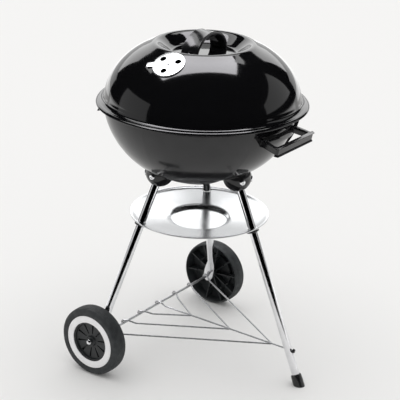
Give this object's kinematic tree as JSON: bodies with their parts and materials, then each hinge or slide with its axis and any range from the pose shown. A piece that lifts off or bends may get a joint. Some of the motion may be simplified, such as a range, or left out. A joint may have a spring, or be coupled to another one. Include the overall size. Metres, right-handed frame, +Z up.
{
  "type": "kettle charcoal grill",
  "caption": "Kettle charcoal grill: domed lid with handle and damper, bowl, ash pan, splayed legs, wire rack and wheels.",
  "frame": {"origin": "on the floor, in the middle of the grill's footprint; the kettle's own axis stands at x = -0.0252 m", "axes": "+Z up, +X towards the plain leg, the wheels' axle along Y"},
  "size_m": [0.5509, 0.5172, 0.769],
  "materials": {
    "enamel": "glossy black enamel",
    "black_plastic": "moulded, satin gloss",
    "chrome": "bright plated",
    "aluminium": "soft polished",
    "zinc_wire": "zinc-plated wire",
    "grate_steel": "plated steel rod",
    "tyre_rubber": "matt with fine tread",
    "white_plastic": "white side band"
  },
  "bodies": {
    "stand": {"bowl_shell": "enamel", "side_handle_front": "black_plastic", "side_handle_rear": "black_plastic", "leg_socket_front": "black_plastic", "leg_socket_left": "black_plastic", "leg_socket_right": "black_plastic", "foot_cap": "black_plastic", "axle_spacer_left": "black_plastic", "axle_spacer_right": "black_plastic", "rack_nut": "black_plastic", "pan_clip_front": "black_plastic", "pan_clip_left": "black_plastic", "pan_clip_right": "black_plastic", "bowl_damper_rivet": "chrome", "side_handle_bolt_front_left": "chrome", "side_handle_bolt_front_right": "chrome", "side_handle_bolt_rear_left": "chrome", "side_handle_bolt_rear_right": "chrome", "leg_front": "chrome", "leg_left": "chrome", "leg_right": "chrome", "socket_bolt_front": "chrome", "socket_bolt_left": "chrome", "socket_bolt_right": "chrome", "socket_screw_front_a": "chrome", "socket_screw_front_b": "chrome", "socket_screw_left_a": "chrome", "socket_screw_left_b": "chrome", "socket_screw_right_a": "chrome", "socket_screw_right_b": "chrome", "axle_cap_left": "chrome", "axle_cap_right": "chrome", "ash_pan": "aluminium", "axle": "zinc_wire", "wire_rack": "zinc_wire", "grate_tab_1": "grate_steel", "grate_tab_2": "grate_steel", "grate_tab_3": "grate_steel", "grate_tab_4": "grate_steel"},
    "lid": {"lid_shell": "enamel", "lid_handle": "black_plastic", "lid_handle_bolt_left": "chrome", "lid_handle_bolt_right": "chrome", "lid_damper_rivet": "chrome"},
    "lid_damper": {"lid_damper": "chrome"},
    "bowl_damper": {"bowl_damper": "aluminium"},
    "cooking_grate": {"cooking_grate": "grate_steel"},
    "charcoal_grate": {"charcoal_grate": "grate_steel"},
    "wheel_left": {"wheel_tyre_left": "tyre_rubber", "wheel_band_left": "white_plastic", "wheel_hub_left": "black_plastic"},
    "wheel_right": {"wheel_tyre_right": "tyre_rubber", "wheel_band_right": "white_plastic", "wheel_hub_right": "black_plastic"}
  },
  "joints": [
    {"name": "lid_lift", "type": "slide", "parent": "stand", "child": "lid", "axis": [0, 0, 1], "range_m": [0, 0.3]},
    {"name": "lid_damper_turn", "type": "hinge", "parent": "lid", "child": "lid_damper", "pos_m": [-0.0147, -0.14252, 0.72648], "axis": [0.0369, -0.5025, 0.8638], "range_deg": [0, 60]},
    {"name": "bowl_damper_turn", "type": "hinge", "parent": "stand", "child": "bowl_damper", "pos_m": [-0.02516, 0, 0.4417], "axis": [0, 0, 1], "range_deg": [0, 36]},
    {"name": "cooking_grate_lift", "type": "slide", "parent": "stand", "child": "cooking_grate", "axis": [0, 0, 1], "range_m": [0, 0.012]},
    {"name": "charcoal_grate_lift", "type": "slide", "parent": "stand", "child": "charcoal_grate", "axis": [0, 0, 1], "range_m": [0, 0.05]},
    {"name": "wheel_left_spin", "type": "hinge", "parent": "stand", "child": "wheel_left", "pos_m": [-0.13916, -0.236, 0.08], "axis": [0, 1, 0], "continuous": true},
    {"name": "wheel_right_spin", "type": "hinge", "parent": "stand", "child": "wheel_right", "pos_m": [-0.13916, 0.236, 0.08], "axis": [0, 1, 0], "continuous": true}
  ]
}
